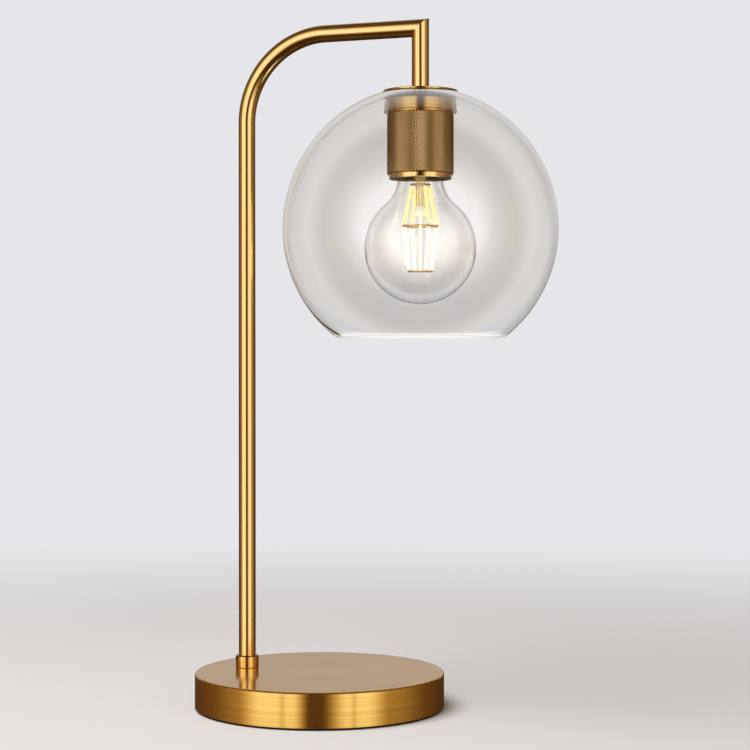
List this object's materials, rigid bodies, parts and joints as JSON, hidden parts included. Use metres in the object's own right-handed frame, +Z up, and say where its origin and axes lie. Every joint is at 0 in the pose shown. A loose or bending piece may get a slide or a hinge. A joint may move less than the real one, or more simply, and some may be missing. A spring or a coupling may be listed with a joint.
{
  "type": "table lamp",
  "caption": "Table lamp: a clear glass globe and filament bulb hang from a bent brass arm that stands on a round weighted base.",
  "frame": {"origin": "centre of the foot pad's underside, on the surface the lamp stands on", "axes": "+Z up; +X from the stem towards the shade, which is over the base's far side; +Y completes the right-handed set"},
  "size_m": [0.2365, 0.1734, 0.4375],
  "materials": {
    "brushed_gold": "brushed, gold lacquered",
    "polished_brass": "polished and lacquered",
    "knurled_brass": "fine diamond knurl",
    "zinc_steel": "bright zinc plated",
    "cast_iron": "as cast, black primer",
    "contact_brass": "bright, nickel flashed",
    "black_foam": "fine closed-cell foam",
    "dark_rubber": "moulded, matt",
    "clear_glass": "blown, clear",
    "clear_silicone": "translucent, moulded",
    "white_ceramic": "unglazed steatite ceramic",
    "bulb_glass": "thin, clear",
    "nickelled_brass": "nickel plated",
    "black_insulator": "black vitrified glass",
    "led_filament": "phosphor-filled silicone",
    "circuit_board": "solder-masked laminate",
    "board_parts": "sleeved and moulded",
    "white_plastic": "moulded",
    "brown_wire": "extruded insulation",
    "blue_wire": "extruded insulation"
  },
  "bodies": {
    "lamp": {"arm_tube": "polished_brass", "base_cover": "zinc_steel", "base_shell": "brushed_gold", "base_weight": "cast_iron", "block_screw": "zinc_steel", "centre_contact": "contact_brass", "clamp_screws": "zinc_steel", "contact_rivets": "contact_brass", "cord_grommet": "dark_rubber", "cover_screws": "zinc_steel", "drop_stud": "zinc_steel", "drop_tube": "polished_brass", "foot_pad": "black_foam", "glass_globe": "clear_glass", "holder_cap": "polished_brass", "holder_insert": "white_ceramic", "holder_nut": "zinc_steel", "holder_washer": "zinc_steel", "knurled_sleeve": "knurled_brass", "live_terminal": "contact_brass", "live_wire": "brown_wire", "neutral_terminal": "contact_brass", "neutral_wire": "blue_wire", "shade_plate": "polished_brass", "shade_seat": "clear_silicone", "socket_shell": "contact_brass", "star_washer": "zinc_steel", "stem_collar": "polished_brass", "stem_nut": "zinc_steel", "stem_washer": "zinc_steel", "terminal_block": "white_plastic", "terminal_screws": "zinc_steel", "terminal_tubes": "contact_brass"},
    "bulb_carrier": {"bulb_tip": "nickelled_brass"},
    "bulb": {"bulb_cap": "nickelled_brass", "bulb_insulator": "black_insulator", "bulb_envelope": "bulb_glass", "bulb_stem": "bulb_glass", "bulb_leads": "nickelled_brass", "filament_frame": "nickelled_brass", "filaments": "led_filament", "driver_board": "circuit_board", "driver_parts": "board_parts"}
  },
  "joints": [
    {"name": "bulb_travel", "type": "slide", "parent": "lamp", "child": "bulb_carrier", "axis": [0, 0, -1], "range_m": [0, 0.01815]},
    {"name": "bulb_turn", "type": "hinge", "parent": "bulb_carrier", "child": "bulb", "pos_m": [0.0683, 0, 0.37], "axis": [0, 0, -1], "range_deg": [0, 1800]}
  ],
  "couplings": [
    {"joint": "bulb_travel", "follows": "bulb_turn", "m_per_rad": 0.0005775}
  ]
}
